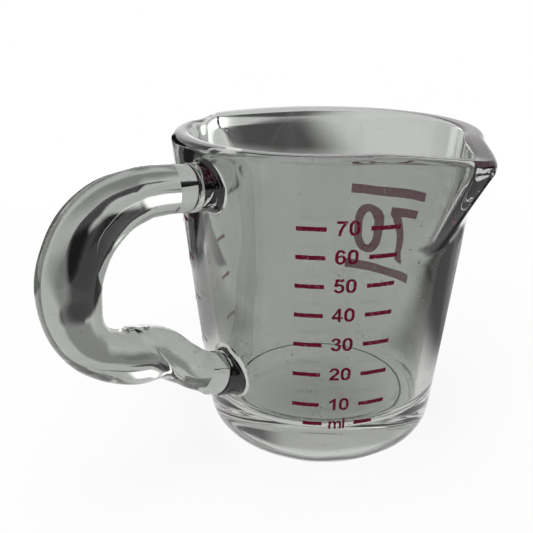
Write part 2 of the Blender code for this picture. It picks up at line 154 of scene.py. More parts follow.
def wedge(azimuth, half_angle):
    """1 on the centre line of a lip, falling to 0 at its half angle; lips are at 0 and 180."""
    away = abs((azimuth + math.pi / 2.0) % math.pi - math.pi / 2.0)
    away = math.hypot(away, SPOUT_NOSE) - SPOUT_NOSE
    return max(1.0 - away / half_angle, 0.0) ** SPOUT_FLANK


def lip_pull(azimuth, height, depth):
    lift = min(max((height - SPOUT_START) / (SPOUT_FULL - SPOUT_START), 0.0), 1.0)
    outside = SPOUT_REACH * wedge(azimuth, SPOUT_HALF_ANGLE)
    inside = CHANNEL_REACH * wedge(azimuth, CHANNEL_HALF_ANGLE)
    return lift * (outside + (inside - outside) * depth)


def on_wall(azimuth, height, out):
    """A point on the outside of the cup, out being its distance from the glass."""
    radius = outer_wall(height) + lip_pull(azimuth, height, 0.0) + out
    return Vector((math.sin(azimuth) * radius, -math.cos(azimuth) * radius, height))


def extrude_rings(rings):
    """Grow the selected circle through rings of (radius, centre) and close its far end."""
    for (radius, centre), (next_radius, next_centre) in zip(rings[:-1], rings[1:]):
        step = Vector(next_centre) - Vector(centre)
        bpy.ops.mesh.extrude_region_move(TRANSFORM_OT_translate={"value": step})
        grow = next_radius / radius
        bpy.ops.transform.resize(value=(grow, grow, grow), center_override=next_centre)
    bpy.ops.mesh.edge_face_add()


def close_first_ring(piece, steps):
    """Close the ring that the piece was started from, and turn its faces outwards."""
    deselect_all()
    piece.select_set(True)
    bpy.context.view_layer.objects.active = piece
    for collection in (piece.data.edges, piece.data.polygons):
        for part in collection:
            part.select = False
    for vertex in piece.data.vertices:
        vertex.select = vertex.index < steps
    bpy.ops.object.mode_set(mode="EDIT")
    bpy.ops.mesh.select_mode(type="VERT")
    bpy.ops.mesh.edge_face_add()
    bpy.ops.mesh.select_all(action="SELECT")
    bpy.ops.mesh.normals_make_consistent(inside=False)
    bpy.ops.object.mode_set(mode="OBJECT")


deselect_all()
section = cup_section()
bpy.ops.mesh.primitive_circle_add(vertices=CUP_STEPS, radius=section[0][0], location=(0, 0, 0))
cup = bpy.context.object
cup.name = "cup_glass"
bpy.ops.object.mode_set(mode="EDIT")
bpy.ops.mesh.select_all(action="SELECT")
extrude_rings([(radius, (0.0, 0.0, height)) for radius, height in section])
close_first_ring(cup, CUP_STEPS)

for vertex in cup.data.vertices:
    radius = math.hypot(vertex.co.x, vertex.co.y)
    height = vertex.co.z
    if height <= SPOUT_START:
        on_floor = abs(height - FLOOR_THICKNESS) < SAME_HEIGHT
        if on_floor and radius < inner_wall(height) - FLOOR_FILLET:
            across = (radius - FLOOR_RING_RADIUS) / FLOOR_RING_WIDTH
            vertex.co.z += FLOOR_RING_HEIGHT * math.exp(-across * across)
        if 0.0 < height < HEEL_RADIUS:
            wave = HEEL_WAVE * (1.0 - height / HEEL_RADIUS) * noise.noise(vertex.co * HEEL_ROUGHNESS)
            vertex.co.x *= 1.0 + wave / radius
            vertex.co.y *= 1.0 + wave / radius
        continue
    azimuth = math.atan2(vertex.co.x, -vertex.co.y)
    depth = min(max((outer_wall(height) - radius) / wall_depth(height), 0.0), 1.0)
    reach = radius + lip_pull(azimuth, height, depth)
    sink = SPOUT_DIP * (height - SPOUT_START) / (CUP_HEIGHT - SPOUT_START)
    vertex.co = (math.sin(azimuth) * reach, -math.cos(azimuth) * reach,
                 height - sink * wedge(azimuth, SPOUT_HALF_ANGLE))


def clear_glass(name, tint_thin, tint_deep):
    """Clear glass with a grey-green body, slightly wavy, with fine scuffs from use."""
    material = bpy.data.materials.new(name)
    material.use_nodes = True
    nodes = material.node_tree.nodes
    links = material.node_tree.links
    shader = nodes["Principled BSDF"]
    shader.inputs["IOR"].default_value = 1.5
    shader.inputs["Transmission Weight"].default_value = 1.0
    place = nodes.new("ShaderNodeTexCoord")
    cloud = nodes.new("ShaderNodeTexNoise")
    cloud.inputs["Scale"].default_value = 45.0
    cloud.inputs["Detail"].default_value = 2.0
    tint = nodes.new("ShaderNodeValToRGB")
    tint.color_ramp.elements[0].position = 0.35
    tint.color_ramp.elements[0].color = tint_deep
    tint.color_ramp.elements[1].position = 0.65
    tint.color_ramp.elements[1].color = tint_thin
    waves = nodes.new("ShaderNodeTexNoise")
    waves.inputs["Scale"].default_value = 38.0
    waves.inputs["Detail"].default_value = 0.0
    drawn = nodes.new("ShaderNodeMapping")
    drawn.inputs["Scale"].default_value = (1.0, 1.0, 0.08)
    streaks = nodes.new("ShaderNodeTexNoise")
    streaks.inputs["Scale"].default_value = 260.0
    streaks.inputs["Detail"].default_value = 1.0
    both = nodes.new("ShaderNodeMath")
    both.operation = "MULTIPLY_ADD"
    both.inputs[1].default_value = 0.10
    ripple = nodes.new("ShaderNodeBump")
    ripple.inputs["Strength"].default_value = 0.10
    ripple.inputs["Distance"].default_value = 1.0 * MM
    links.new(place.outputs["Object"], cloud.inputs["Vector"])
    links.new(cloud.outputs["Fac"], tint.inputs["Fac"])
    links.new(tint.outputs["Color"], shader.inputs["Base Color"])
    links.new(place.outputs["Object"], waves.inputs["Vector"])
    links.new(place.outputs["Object"], drawn.inputs["Vector"])
    links.new(drawn.outputs["Vector"], streaks.inputs["Vector"])
    links.new(streaks.outputs["Fac"], both.inputs[0])
    links.new(waves.outputs["Fac"], both.inputs[2])
    links.new(both.outputs[0], ripple.inputs["Height"])
    links.new(ripple.outputs["Normal"], shader.inputs["Normal"])
    scuffs = nodes.new("ShaderNodeTexVoronoi")
    scuffs.inputs["Scale"].default_value = 420.0
    patches = nodes.new("ShaderNodeTexNoise")
    patches.inputs["Scale"].default_value = 90.0
    spread = nodes.new("ShaderNodeMapRange")
    spread.inputs["From Min"].default_value = 0.48
    spread.inputs["From Max"].default_value = 0.62
    spread.inputs["To Max"].default_value = 0.11
    close = nodes.new("ShaderNodeMath")
    close.operation = "LESS_THAN"
    dull = nodes.new("ShaderNodeMath")
    dull.operation = "MULTIPLY"
    dull.inputs[1].default_value = 0.55
    links.new(place.outputs["Object"], scuffs.inputs["Vector"])
    links.new(place.outputs["Object"], patches.inputs["Vector"])
    links.new(patches.outputs["Fac"], spread.inputs["Value"])
    links.new(scuffs.outputs["Distance"], close.inputs[0])
    links.new(spread.outputs["Result"], close.inputs[1])
    links.new(close.outputs[0], dull.inputs[0])
    links.new(dull.outputs[0], shader.inputs["Roughness"])
    return material


cup_glass = clear_glass("cup_glass", (0.525, 0.540, 0.520, 1.0), (0.495, 0.510, 0.490, 1.0))


# ---- Feet of the handle ------------------------------------------------------------------------
# Each end of the handle's rod was pressed on to the wall while both were soft. The short foot
# that this left is one with the cup: it spreads a little on the wall, and a seam closes it.
FOOT_STEPS = 96
FOOT_DEPTH = 1.7 * MM            # how far the foot reaches into the wall
FOOT_BELOW = 0.4 * MM            # depth of its first ring inside the wall
FOOT_SHARES = (0.8, 0.6, 0.45, 0.33, 0.24, 0.17, 0.11, 0.06, 0.025, 0.0)   # rings down to the wall
FOOT_SPREAD = 0.75 * MM          # how much wider it is at the wall
FOOT_SPREAD_LENGTH = 0.45 * MM   # distance from the wall over which the spread dies away
LOWER_FOOT_RISE = 1.4 * MM       # the lower foot runs up the wall by this much more
SEAM_ROUND = 0.35 * MM
SEAM_CORNER = 0.3                # share of the rounding at its middle ring
GLASS_CREASE_ANGLE = math.radians(30.0)
UPPER_SEAM = (34.0 * MM, 57.5 * MM, 4.18 * MM)      # reach from the axis, height and radius
UPPER_WELD = (29.3 * MM, 57.0 * MM, 4.35 * MM)
LOWER_SEAM = (28.7 * MM, 20.5 * MM, 4.12 * MM)
LOWER_WELD = (25.3 * MM, 19.2 * MM, 4.35 * MM)


def smooth_step(share):
    share = min(max(share, 0.0), 1.0)
    return share * share * (3.0 - 2.0 * share)


def add_foot(name, seam, weld, spread, spread_up):
    """A rod end from its rounded seam edge to inside the wall, laid round the wall where it spreads."""
    seam_reach, seam_height, seam_radius = seam
    weld_reach, weld_height, weld_radius = weld
    length = seam_reach - weld_reach
    outs = [length, length - SEAM_ROUND * SEAM_CORNER, length - SEAM_ROUND]
    outs += [length * share for share in FOOT_SHARES]
    outs += [-FOOT_BELOW, -FOOT_DEPTH]
    trims = [SEAM_ROUND, SEAM_ROUND * SEAM_CORNER] + [0.0] * (len(outs) - 2)
    rings = []
    for out, trim in zip(outs, trims):
        share = out / length
        radius = weld_radius + (seam_radius - weld_radius) * max(share, 0.0) - trim
        height = weld_height + (seam_height - weld_height) * share
        rings.append((radius, (-(weld_reach + out), 0.0, height)))
    deselect_all()
    bpy.ops.mesh.primitive_circle_add(vertices=FOOT_STEPS, radius=rings[0][0],
                                      location=rings[0][1], rotation=(0, math.radians(90.0), 0))
    foot = bpy.context.object
    foot.name = name
    bpy.ops.object.transform_apply(location=True, rotation=True, scale=True)
    bpy.ops.object.mode_set(mode="EDIT")
    bpy.ops.mesh.select_all(action="SELECT")
    extrude_rings(rings)
    close_first_ring(foot, FOOT_STEPS)
    slope = math.atan2(seam_height - weld_height, length)
    for vertex in foot.data.vertices:
        out = -vertex.co.x - weld_reach
        middle = weld_height + (seam_height - weld_height) * out / length
        up = vertex.co.z - middle
        across = vertex.co.y
        girth = math.hypot(up, across)
        swell = math.exp(-max(out, 0.0) / FOOT_SPREAD_LENGTH)
        grow = 1.0 + swell * (spread + spread_up * max(up / girth, 0.0) ** 2) / girth
        up *= grow
        across *= grow
        laid = 1.0 - smooth_step(out / length)
        height = middle + up
        square_reach = weld_reach + out - up * math.sin(slope) * (1.0 - laid)
        laid_radius = outer_wall(height) + out
        turn = across / laid_radius
        x = -(square_reach * (1.0 - laid) + laid_radius * math.cos(turn) * laid)
        y = across * (1.0 - laid) + laid_radius * math.sin(turn) * laid
        vertex.co = (x, y, height)
    return foot


def melt(body, addition):
    """Join the addition to the body as one closed mesh."""
    deselect_all()
    body.select_set(True)
    bpy.context.view_layer.objects.active = body
    union = body.modifiers.new(addition.name, "BOOLEAN")
    union.operation = "UNION"
    union.solver = "EXACT"
    union.object = addition
    bpy.ops.object.modifier_apply(modifier=union.name)
    bpy.data.objects.remove(addition, do_unlink=True)


melt(cup, add_foot("upper_foot", UPPER_SEAM, UPPER_WELD, FOOT_SPREAD, 0.0))
melt(cup, add_foot("lower_foot", LOWER_SEAM, LOWER_WELD, FOOT_SPREAD, LOWER_FOOT_RISE))
cup.data.shade_smooth()
cup.data.set_sharp_from_angle(angle=GLASS_CREASE_ANGLE)
cup.data.materials.clear()
cup.data.materials.append(cup_glass)
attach(cup, "root")
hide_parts("cup_body")


# ---- Handle ------------------------------------------------------------------------------------
# The handle is a solid glass rod, bent hot into a loop. Its lower arm is kinked where it was
# folded back, and both ends butt on the feet behind a narrow seam.
ROD_ROUTE = (                    # reach from the axis, height and radius along the rod, in mm
    (34.12, 57.51, 4.18),        # just clear of the upper seam
    (38.5, 58.0, 4.25),
    (43.0, 58.0, 4.45),
    (50.0, 55.8, 5.05),
    (55.1, 50.0, 5.2),
    (56.6, 42.4, 4.93),
    (54.8, 35.8, 4.3),
    (51.0, 32.2, 4.4),
    (46.0, 30.4, 5.05),
    (40.8, 29.0, 4.6),
    (36.3, 25.5, 3.95),
    (31.5, 21.7, 4.0),
    (28.81, 20.55, 4.12),        # just clear of the lower seam
)
ROD_SWELL = 0.09                 # unevenness of the drawn rod, in mm
ROD_ROUGHNESS = 95.0             # how closely the unevenness follows itself, per metre
ROD_STEPS = 18                   # rings between two points of the route
ROD_ROUNDNESS = 46
ROD_CAP_CORNERS = 8              # only the two ends of the rod have faces with more corners
ROD_END_STEPS = 4
ROD_END_ANGLE = math.radians(40.0)
CREASE_TOP = Vector((47.0, 35.4))    # the fold in the lower arm, as reach and height in mm
CREASE_FOOT = Vector((36.0, 21.3))
CREASE_START = -0.3              # where it starts and stops, in lengths of the fold
CREASE_STOP = 1.2
CREASE_DEPTH = 0.45 * MM
CREASE_WIDTH = 0.75              # in mm
SAME_POINT = 0.001 * MM          # points closer than this are one

deselect_all()
bpy.ops.curve.primitive_bezier_curve_add(location=(0, 0, 0))
rod = bpy.context.object
rod.name = "handle_glass"
route = rod.data.splines[0]
route.bezier_points.add(len(ROD_ROUTE) - len(route.bezier_points))
for point, (reach, height, radius) in zip(route.bezier_points, ROD_ROUTE):
    point.co = (-reach * MM, 0.0, height * MM)
    point.radius = radius
    point.handle_left_type = "AUTO"
    point.handle_right_type = "AUTO"
route.resolution_u = ROD_STEPS
route.radius_interpolation = "CARDINAL"
rod.data.bevel_depth = 1.0 * MM
rod.data.bevel_resolution = ROD_ROUNDNESS
rod.data.use_fill_caps = True
bpy.ops.object.convert(target="MESH")
rod = bpy.context.object
bpy.ops.object.mode_set(mode="EDIT")
bpy.ops.mesh.select_all(action="SELECT")
bpy.ops.mesh.remove_doubles(threshold=SAME_POINT)
bpy.ops.mesh.normals_make_consistent(inside=False)
bpy.ops.mesh.select_mode(type="EDGE")
bpy.ops.mesh.select_all(action="DESELECT")
bpy.ops.object.mode_set(mode="OBJECT")
caps = [face for face in rod.data.polygons if len(face.vertices) > ROD_CAP_CORNERS]
cap_edges = {key for face in caps for key in face.edge_keys}
for edge in rod.data.edges:
    edge.select = edge.key in cap_edges
bpy.ops.object.mode_set(mode="EDIT")
bpy.ops.mesh.bevel(offset=SEAM_ROUND, segments=ROD_END_STEPS, affect="EDGES")
bpy.ops.object.mode_set(mode="OBJECT")
fold = (CREASE_TOP - CREASE_FOOT).normalized()
for vertex in rod.data.vertices:
    push = noise.noise(vertex.co * ROD_ROUGHNESS) * ROD_SWELL * MM
    away = Vector((-vertex.co.x / MM, vertex.co.z / MM)) - CREASE_FOOT
    across = (away.x * fold.y - away.y * fold.x) / CREASE_WIDTH
    along = away.dot(fold) / (CREASE_TOP - CREASE_FOOT).length
    if CREASE_START < along < CREASE_STOP:
        push -= CREASE_DEPTH * math.exp(-across * across)
    vertex.co += vertex.normal * push
rod.data.shade_smooth()
rod.data.set_sharp_from_angle(angle=ROD_END_ANGLE)
rod.data.materials.clear()
rod.data.materials.append(clear_glass("rod_glass", (0.41, 0.425, 0.405, 1.0),
                                      (0.36, 0.375, 0.355, 1.0)))
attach(rod, "root")
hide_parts("handle")


# ---- Millilitre scale --------------------------------------------------------------------------
# Burgundy ceramic enamel, screened on to the wall and fired into it: seven rows, each a number
# between two bars. The screen leaves pinholes and slightly ragged edges.
ENAMEL_SINK = 0.03 * MM          # the fired enamel bites this far into the glass
ENAMEL_STAND = 0.05 * MM
BAR_LENGTH = 5.05 * MM
BAR_HEIGHT = 0.78 * MM
BAR_INNER_END = 3.7 * MM
BAR_STRIPS = 30                  # a bar is cut into strips to follow the round wall
RAGGED = 0.05 * MM               # how far an edge strays
RAGGED_SCALE = 2600.0            # how closely it strays, per metre
FIGURE_HEIGHT = 2.6 * MM
FIGURE_SPACING = 2.08 * MM
FIGURE_SHIFT = -0.12 * MM
FIGURE_LIFT = 0.15 * MM
FIGURE_STEPS = 6                 # between two points of an outline
FIGURE_SPAN = 1.1                # width that is cut into strips, in heights of a figure
FACET_WIDTH = 0.7 * MM           # about the width of a strip
ENAMEL_CREASE_ANGLE = math.radians(30.0)
FUSED_SIDE = -0.5                # a face that looks further inwards than this is on the glass
SCALE_OFFSET = math.radians(52.15)
HANDLE_AZIMUTH = math.radians(-90.0)
ML_ROWS = (10, 20, 30, 40, 50, 60, 70)
CUBIC_METRE_PER_ML = 1.0e-6
LEVEL_STEP = 0.02 * MM           # slice of liquid by which a mark's height is found
CORNER = True                    # marks a sharp corner of an outline
FIGURES = {                      # bold figures, in heights of a figure, on their centre line
    "0": (((0, 1.01), (0.26, 0.90), (0.35, 0.5), (0.26, 0.10), (0, -0.01), (-0.26, 0.10),
           (-0.35, 0.5), (-0.26, 0.90)),
          ((0, 0.85), (-0.115, 0.76), (-0.15, 0.5), (-0.115, 0.24), (0, 0.15), (0.115, 0.24),
           (0.15, 0.5), (0.115, 0.76))),
    "1": (((0.02, 0, CORNER), (0.22, 0, CORNER), (0.22, 1, CORNER), (0.06, 1, CORNER),
           (-0.06, 0.88), (-0.25, 0.77, CORNER), (-0.25, 0.60, CORNER), (-0.10, 0.66),
           (0.02, 0.745, CORNER)),),
    "2": (((-0.35, 0, CORNER), (0.345, 0, CORNER), (0.345, 0.18, CORNER), (-0.04, 0.18, CORNER),
           (0.03, 0.265), (0.20, 0.42), (0.31, 0.56), (0.345, 0.715), (0.25, 0.93), (0.01, 1.01),
           (-0.235, 0.93), (-0.335, 0.715, CORNER), (-0.14, 0.695, CORNER), (-0.10, 0.81),
           (0, 0.85), (0.105, 0.815), (0.145, 0.71), (0.105, 0.60), (-0.05, 0.44),
           (-0.27, 0.215)),),
    "3": (((-0.345, 0.255, CORNER), (-0.145, 0.29, CORNER), (-0.10, 0.185), (0, 0.14),
           (0.105, 0.185), (0.145, 0.295), (0.11, 0.405), (0, 0.45), (-0.07, 0.445, CORNER),
           (-0.045, 0.605, CORNER), (0.06, 0.635), (0.11, 0.735), (0.08, 0.825), (-0.005, 0.855),
           (-0.09, 0.82), (-0.135, 0.72, CORNER), (-0.32, 0.755, CORNER), (-0.21, 0.945),
           (0, 1.01), (0.235, 0.92), (0.315, 0.74), (0.265, 0.61), (0.165, 0.545, CORNER),
           (0.30, 0.455), (0.35, 0.29), (0.25, 0.075), (0, -0.01), (-0.245, 0.07)),),
    "4": (((0.04, 1, CORNER), (0.22, 1, CORNER), (0.22, 0.37, CORNER), (0.36, 0.37, CORNER),
           (0.36, 0.20, CORNER), (0.22, 0.20, CORNER), (0.22, 0, CORNER), (0.03, 0, CORNER),
           (0.03, 0.20, CORNER), (-0.37, 0.20, CORNER), (-0.37, 0.36, CORNER)),
          ((0.03, 0.37, CORNER), (-0.19, 0.37, CORNER), (0.03, 0.71, CORNER))),
    "5": (((-0.235, 1, CORNER), (0.30, 1, CORNER), (0.30, 0.825, CORNER), (-0.085, 0.825, CORNER),
           (-0.12, 0.635, CORNER), (0.03, 0.665), (0.25, 0.575), (0.35, 0.34), (0.25, 0.085),
           (-0.005, -0.01), (-0.25, 0.07), (-0.355, 0.255, CORNER), (-0.155, 0.275, CORNER),
           (-0.10, 0.18), (0, 0.14), (0.115, 0.20), (0.15, 0.335), (0.115, 0.46), (-0.005, 0.51),
           (-0.155, 0.44, CORNER), (-0.325, 0.47, CORNER)),),
    "6": (((0.02, 1.01), (-0.26, 0.87), (-0.36, 0.49), (-0.27, 0.12), (0, -0.01), (0.25, 0.09),
           (0.345, 0.325), (0.26, 0.56), (0.05, 0.645), (-0.155, 0.555, CORNER), (-0.11, 0.79),
           (0.03, 0.855), (0.13, 0.74, CORNER), (0.32, 0.76, CORNER), (0.22, 0.94)),
          ((0, 0.50), (-0.11, 0.44), (-0.147, 0.33), (-0.12, 0.21), (0, 0.14), (0.12, 0.21),
           (0.147, 0.32), (0.12, 0.43))),
    "7": (((-0.34, 1, CORNER), (0.34, 1, CORNER), (0.34, 0.86, CORNER), (0.13, 0.58), (0, 0.28),
           (-0.05, 0, CORNER), (-0.25, 0, CORNER), (-0.17, 0.36), (0.08, 0.825, CORNER),
           (-0.34, 0.825, CORNER)),),
    "m": (((-0.52, 0, CORNER), (-0.335, 0, CORNER), (-0.335, 0.42), (-0.29, 0.545), (-0.19, 0.58),
           (-0.105, 0.535), (-0.09, 0.43, CORNER), (-0.09, 0, CORNER), (0.095, 0, CORNER),
           (0.095, 0.42), (0.14, 0.545), (0.24, 0.58), (0.32, 0.535), (0.335, 0.43, CORNER),
           (0.335, 0, CORNER), (0.52, 0, CORNER), (0.52, 0.48), (0.47, 0.68), (0.30, 0.755),
           (0.16, 0.71), (0.06, 0.62, CORNER), (0, 0.715), (-0.14, 0.755), (-0.26, 0.715),
           (-0.35, 0.635, CORNER), (-0.35, 0.735, CORNER), (-0.52, 0.735, CORNER)),),
    "l": (((-0.095, 0, CORNER), (0.095, 0, CORNER), (0.095, 1.01, CORNER),
           (-0.095, 1.01, CORNER)),),
}


def fired_enamel(name, dark, pale, pinhole):
    """Matt burgundy that is grained between two tones and pricked with pale pinholes."""
    material = bpy.data.materials.new(name)
    material.use_nodes = True
    nodes = material.node_tree.nodes
    links = material.node_tree.links
    shader = nodes["Principled BSDF"]
    shader.inputs["Roughness"].default_value = 0.5
    shader.inputs["Specular IOR Level"].default_value = 0.05
    place = nodes.new("ShaderNodeTexCoord")
    grain = nodes.new("ShaderNodeTexNoise")
    grain.inputs["Scale"].default_value = 2600.0
    grain.inputs["Detail"].default_value = 2.0
    tone = nodes.new("ShaderNodeValToRGB")
    tone.color_ramp.elements[0].position = 0.30
    tone.color_ramp.elements[0].color = dark
    tone.color_ramp.elements[1].position = 0.61
    tone.color_ramp.elements[1].color = pale
    speck = tone.color_ramp.elements.new(0.68)
    speck.color = pinhole
    links.new(place.outputs["Object"], grain.inputs["Vector"])
    links.new(grain.outputs["Fac"], tone.inputs["Fac"])
    links.new(tone.outputs["Color"], shader.inputs["Base Color"])
    return material


enamel = fired_enamel("burgundy_enamel", (0.075, 0.001, 0.010, 1.0), (0.105, 0.003, 0.019, 1.0),
                      (0.20, 0.08, 0.10, 1.0))
# The fused side, seen through the glass, is a painted bright copy of the burgundy that makes up for the
# dim light inside the glass.
enamel_painted_bright = fired_enamel("burgundy_enamel_painted_bright", (0.46, 0.02, 0.13, 1.0), (0.60, 0.05, 0.20, 1.0),
                           (0.75, 0.40, 0.50, 1.0))


def mark_height(volume):
    """Height of the surface of a volume of liquid standing in the cup."""
    inside = [point for point in cup_section() if point[1] >= FLOOR_THICKNESS]
    inside.reverse()
    height = FLOOR_THICKNESS
    held = 0.0
    while held < volume:
        height += LEVEL_STEP
        radius = inner_wall(height)
        for (radius_low, low), (radius_high, high) in zip(inside[:-1], inside[1:]):
            if low <= height <= high and high > low:
                radius = radius_low + (radius_high - radius_low) * (height - low) / (high - low)
                break
        held += math.pi * radius ** 2 * LEVEL_STEP
    return height


def fire_on(piece, azimuth, row_height, node):
    """Wrap a flat deposit (x along the wall, y up, z out) on the wall and finish it."""
    around = outer_wall(row_height)
    for vertex in piece.data.vertices:
        along, up, out = vertex.co
        drift = noise.noise((vertex.co + Vector((row_height, azimuth * MM, 0.0))) * RAGGED_SCALE)
        vertex.co = on_wall(azimuth + along / around, row_height + up + drift * RAGGED, out)
    piece.data.shade_smooth()
    piece.data.set_sharp_from_angle(angle=ENAMEL_CREASE_ANGLE)
    piece.data.materials.clear()
    piece.data.materials.append(enamel)
    piece.data.materials.append(enamel_painted_bright)
    outward = Vector((math.sin(azimuth), -math.cos(azimuth), 0.0))
    for face in piece.data.polygons:
        # Faces lying on the glass take the painted bright copy of the enamel.
        face.material_index = int(face.normal.dot(outward) < FUSED_SIDE)
    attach(piece, "root")
    if node:
        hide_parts(node)


def print_bar(name, length, height, middle, azimuth, row_height, node):
    """A bar of enamel whose middle is this far to the right of its row's."""
    deselect_all()
    bpy.ops.mesh.primitive_cube_add(size=1.0)
    bar = bpy.context.object
    bar.name = name
    thickness = ENAMEL_SINK + ENAMEL_STAND
    bar.scale = (length, height, thickness)
    bar.location = (middle, 0.0, thickness / 2.0 - ENAMEL_SINK)
    bpy.ops.object.transform_apply(location=True, rotation=True, scale=True)
    bpy.ops.object.mode_set(mode="EDIT")
    for strip in range(1, BAR_STRIPS):
        bpy.ops.mesh.select_all(action="SELECT")
        cut = middle + length * (strip / BAR_STRIPS - 0.5)
        bpy.ops.mesh.bisect(plane_co=(cut, 0, 0), plane_no=(1, 0, 0))
    bpy.ops.object.mode_set(mode="OBJECT")
    fire_on(bar, azimuth, row_height, node)


def print_figure(name, figure, height, offset, azimuth, row_height, node):
    """A figure or letter of enamel, cut into strips so that it follows the round wall."""
    deselect_all()
    bpy.ops.curve.primitive_bezier_curve_add(location=(0, 0, 0))
    item = bpy.context.object
    item.name = name
    curve = item.data
    curve.splines.clear()
    curve.dimensions = "2D"
    curve.fill_mode = "BOTH"
    curve.resolution_u = FIGURE_STEPS
    curve.extrude = (ENAMEL_SINK + ENAMEL_STAND) / 2.0
    for outline in FIGURES[figure]:
        spline = curve.splines.new("BEZIER")
        spline.bezier_points.add(len(outline) - 1)
        spline.use_cyclic_u = True
        for point, spot in zip(spline.bezier_points, outline):
            point.co = (spot[0] * height, spot[1] * height, 0.0)
            point.handle_left_type = "VECTOR" if CORNER in spot[2:] else "AUTO"
            point.handle_right_type = point.handle_left_type
    bpy.ops.object.convert(target="MESH")
    item = bpy.context.object
    item.location = (offset, -height / 2.0, (ENAMEL_STAND - ENAMEL_SINK) / 2.0)
    bpy.ops.object.transform_apply(location=True, rotation=True, scale=True)
    bpy.ops.object.mode_set(mode="EDIT")
    bpy.ops.mesh.select_all(action="SELECT")
    bpy.ops.mesh.remove_doubles(threshold=SAME_POINT)
    strips = math.ceil(height * FIGURE_SPAN / FACET_WIDTH)
    for strip in range(1, strips):
        bpy.ops.mesh.select_all(action="SELECT")
        cut = offset + height * FIGURE_SPAN * (strip / strips - 0.5)
        bpy.ops.mesh.bisect(plane_co=(cut, 0, 0), plane_no=(1, 0, 0))
    bpy.ops.mesh.select_all(action="SELECT")
    bpy.ops.mesh.normals_make_consistent(inside=False)
    bpy.ops.object.mode_set(mode="OBJECT")
    fire_on(item, azimuth, row_height, node)


def print_row_bars(prefix, azimuth, row_height):
    for side, word in ((-1, "left"), (1, "right")):
        middle = side * (BAR_INNER_END + BAR_LENGTH / 2.0)
        node = f"{prefix}_{word}"
        print_bar(node + "_enamel", BAR_LENGTH, BAR_HEIGHT, middle, azimuth, row_height, node)


ml_azimuth = HANDLE_AZIMUTH + SCALE_OFFSET
for ml in ML_ROWS:
    row_height = mark_height(ml * CUBIC_METRE_PER_ML)
    print_row_bars(f"ml_bar_{ml}", ml_azimuth, row_height)
    for slot, (figure, word) in enumerate(zip(str(ml), ("tens", "units"))):
        node = f"ml_figure_{ml}_{word}"
        print_figure(node + "_enamel", figure, FIGURE_HEIGHT,
                     (slot - 0.5) * FIGURE_SPACING + FIGURE_SHIFT,
                     ml_azimuth, row_height + FIGURE_LIFT, node)


# ---- Unit mark ---------------------------------------------------------------------------------
# A plain "ml" between two short bars under the lowest row, in the same enamel and firing.
UNIT_HEIGHT = 12.6 * MM
UNIT_LETTER_HEIGHT = 2.3 * MM
UNIT_LETTERS = (("m", -0.55 * MM), ("l", 1.05 * MM))
UNIT_BAR_LENGTH = 3.6 * MM
UNIT_BAR_INNER_END = 3.0 * MM

for letter, offset in UNIT_LETTERS:
    print_figure(f"unit_{letter}_enamel", letter, UNIT_LETTER_HEIGHT, offset, ml_azimuth,
                 UNIT_HEIGHT, None)
for side, word in ((-1, "left"), (1, "right")):
    print_bar(f"unit_bar_{word}_enamel", UNIT_BAR_LENGTH, BAR_HEIGHT,
              side * (UNIT_BAR_INNER_END + UNIT_BAR_LENGTH / 2.0), ml_azimuth, UNIT_HEIGHT, None)


# ---- Ounce scale -------------------------------------------------------------------------------
# The same bars on the other side of the handle mark half ounces; the whole ounces are numbered.
OUNCE_ML = 29.5735
OUNCE_ROWS = (("half", 0.5), ("one", 1.0), ("one_half", 1.5), ("two", 2.0))
OUNCE_FIGURES = {"one": "1", "two": "2"}

ounce_azimuth = HANDLE_AZIMUTH - SCALE_OFFSET
for row, ounces in OUNCE_ROWS:
    row_height = mark_height(ounces * OUNCE_ML * CUBIC_METRE_PER_ML)
    print_row_bars(f"oz_bar_{row}", ounce_azimuth, row_height)
    if row in OUNCE_FIGURES:
        node = f"oz_figure_{row}"
        print_figure(node + "_enamel", OUNCE_FIGURES[row], FIGURE_HEIGHT, 0.0, ounce_azimuth,
                     row_height + FIGURE_LIFT, node)


# ---- Capacity mark -----------------------------------------------------------------------------
# Opposite the handle the same enamel shows what the jug holds: a large 70 between heavy bars.
CAPACITY_AZIMUTH = math.radians(98.0)
CAPACITY_HEIGHT = 37.0 * MM
CAPACITY_FIGURE_HEIGHT = 11.2 * MM
CAPACITY_FIGURE_SPACING = 8.9 * MM
CAPACITY_BAR_LENGTH = 20.0 * MM
CAPACITY_BAR_HEIGHT = 2.1 * MM
CAPACITY_BAR_OFFSET = 9.0 * MM

for side, word in ((-1, "lower"), (1, "upper")):
    node = f"capacity_bar_{word}"
    print_bar(node + "_enamel", CAPACITY_BAR_LENGTH, CAPACITY_BAR_HEIGHT, 0.0, CAPACITY_AZIMUTH,
              CAPACITY_HEIGHT + side * CAPACITY_BAR_OFFSET, node)
for slot, (figure, word) in enumerate(zip("70", ("tens", "units"))):
    node = f"capacity_figure_{word}"
    print_figure(node + "_enamel", figure, CAPACITY_FIGURE_HEIGHT,
                 (slot - 0.5) * CAPACITY_FIGURE_SPACING, CAPACITY_AZIMUTH, CAPACITY_HEIGHT, node)


# ---- Floor and light ---------------------------------------------------------------------------
# A plain pale floor that fades into a white background, in soft light from above and the left.
# Dark and bright cards round the jug, out of the view, give the glass its dark and bright bands.
FLOOR_SIZE = 8.0
FLOOR_DROP = 0.02 * MM           # the floor lies this much under the jug
FLOOR_FADE_PER_METRE = 4.0
FLOOR_FADE = (                   # distance from the jug on that scale, and how white the floor shows
    (0.02, 0.60),
    (0.075, 0.96),               # painted pool of light under the heel, where the glass would focus light
    (0.105, 0.85),               # a soft shadow beside it
    (0.40, 0.90),
    (0.90, 1.0),
)
UNSEEN_WORLD = 0.75              # the white world lights the jug by this much


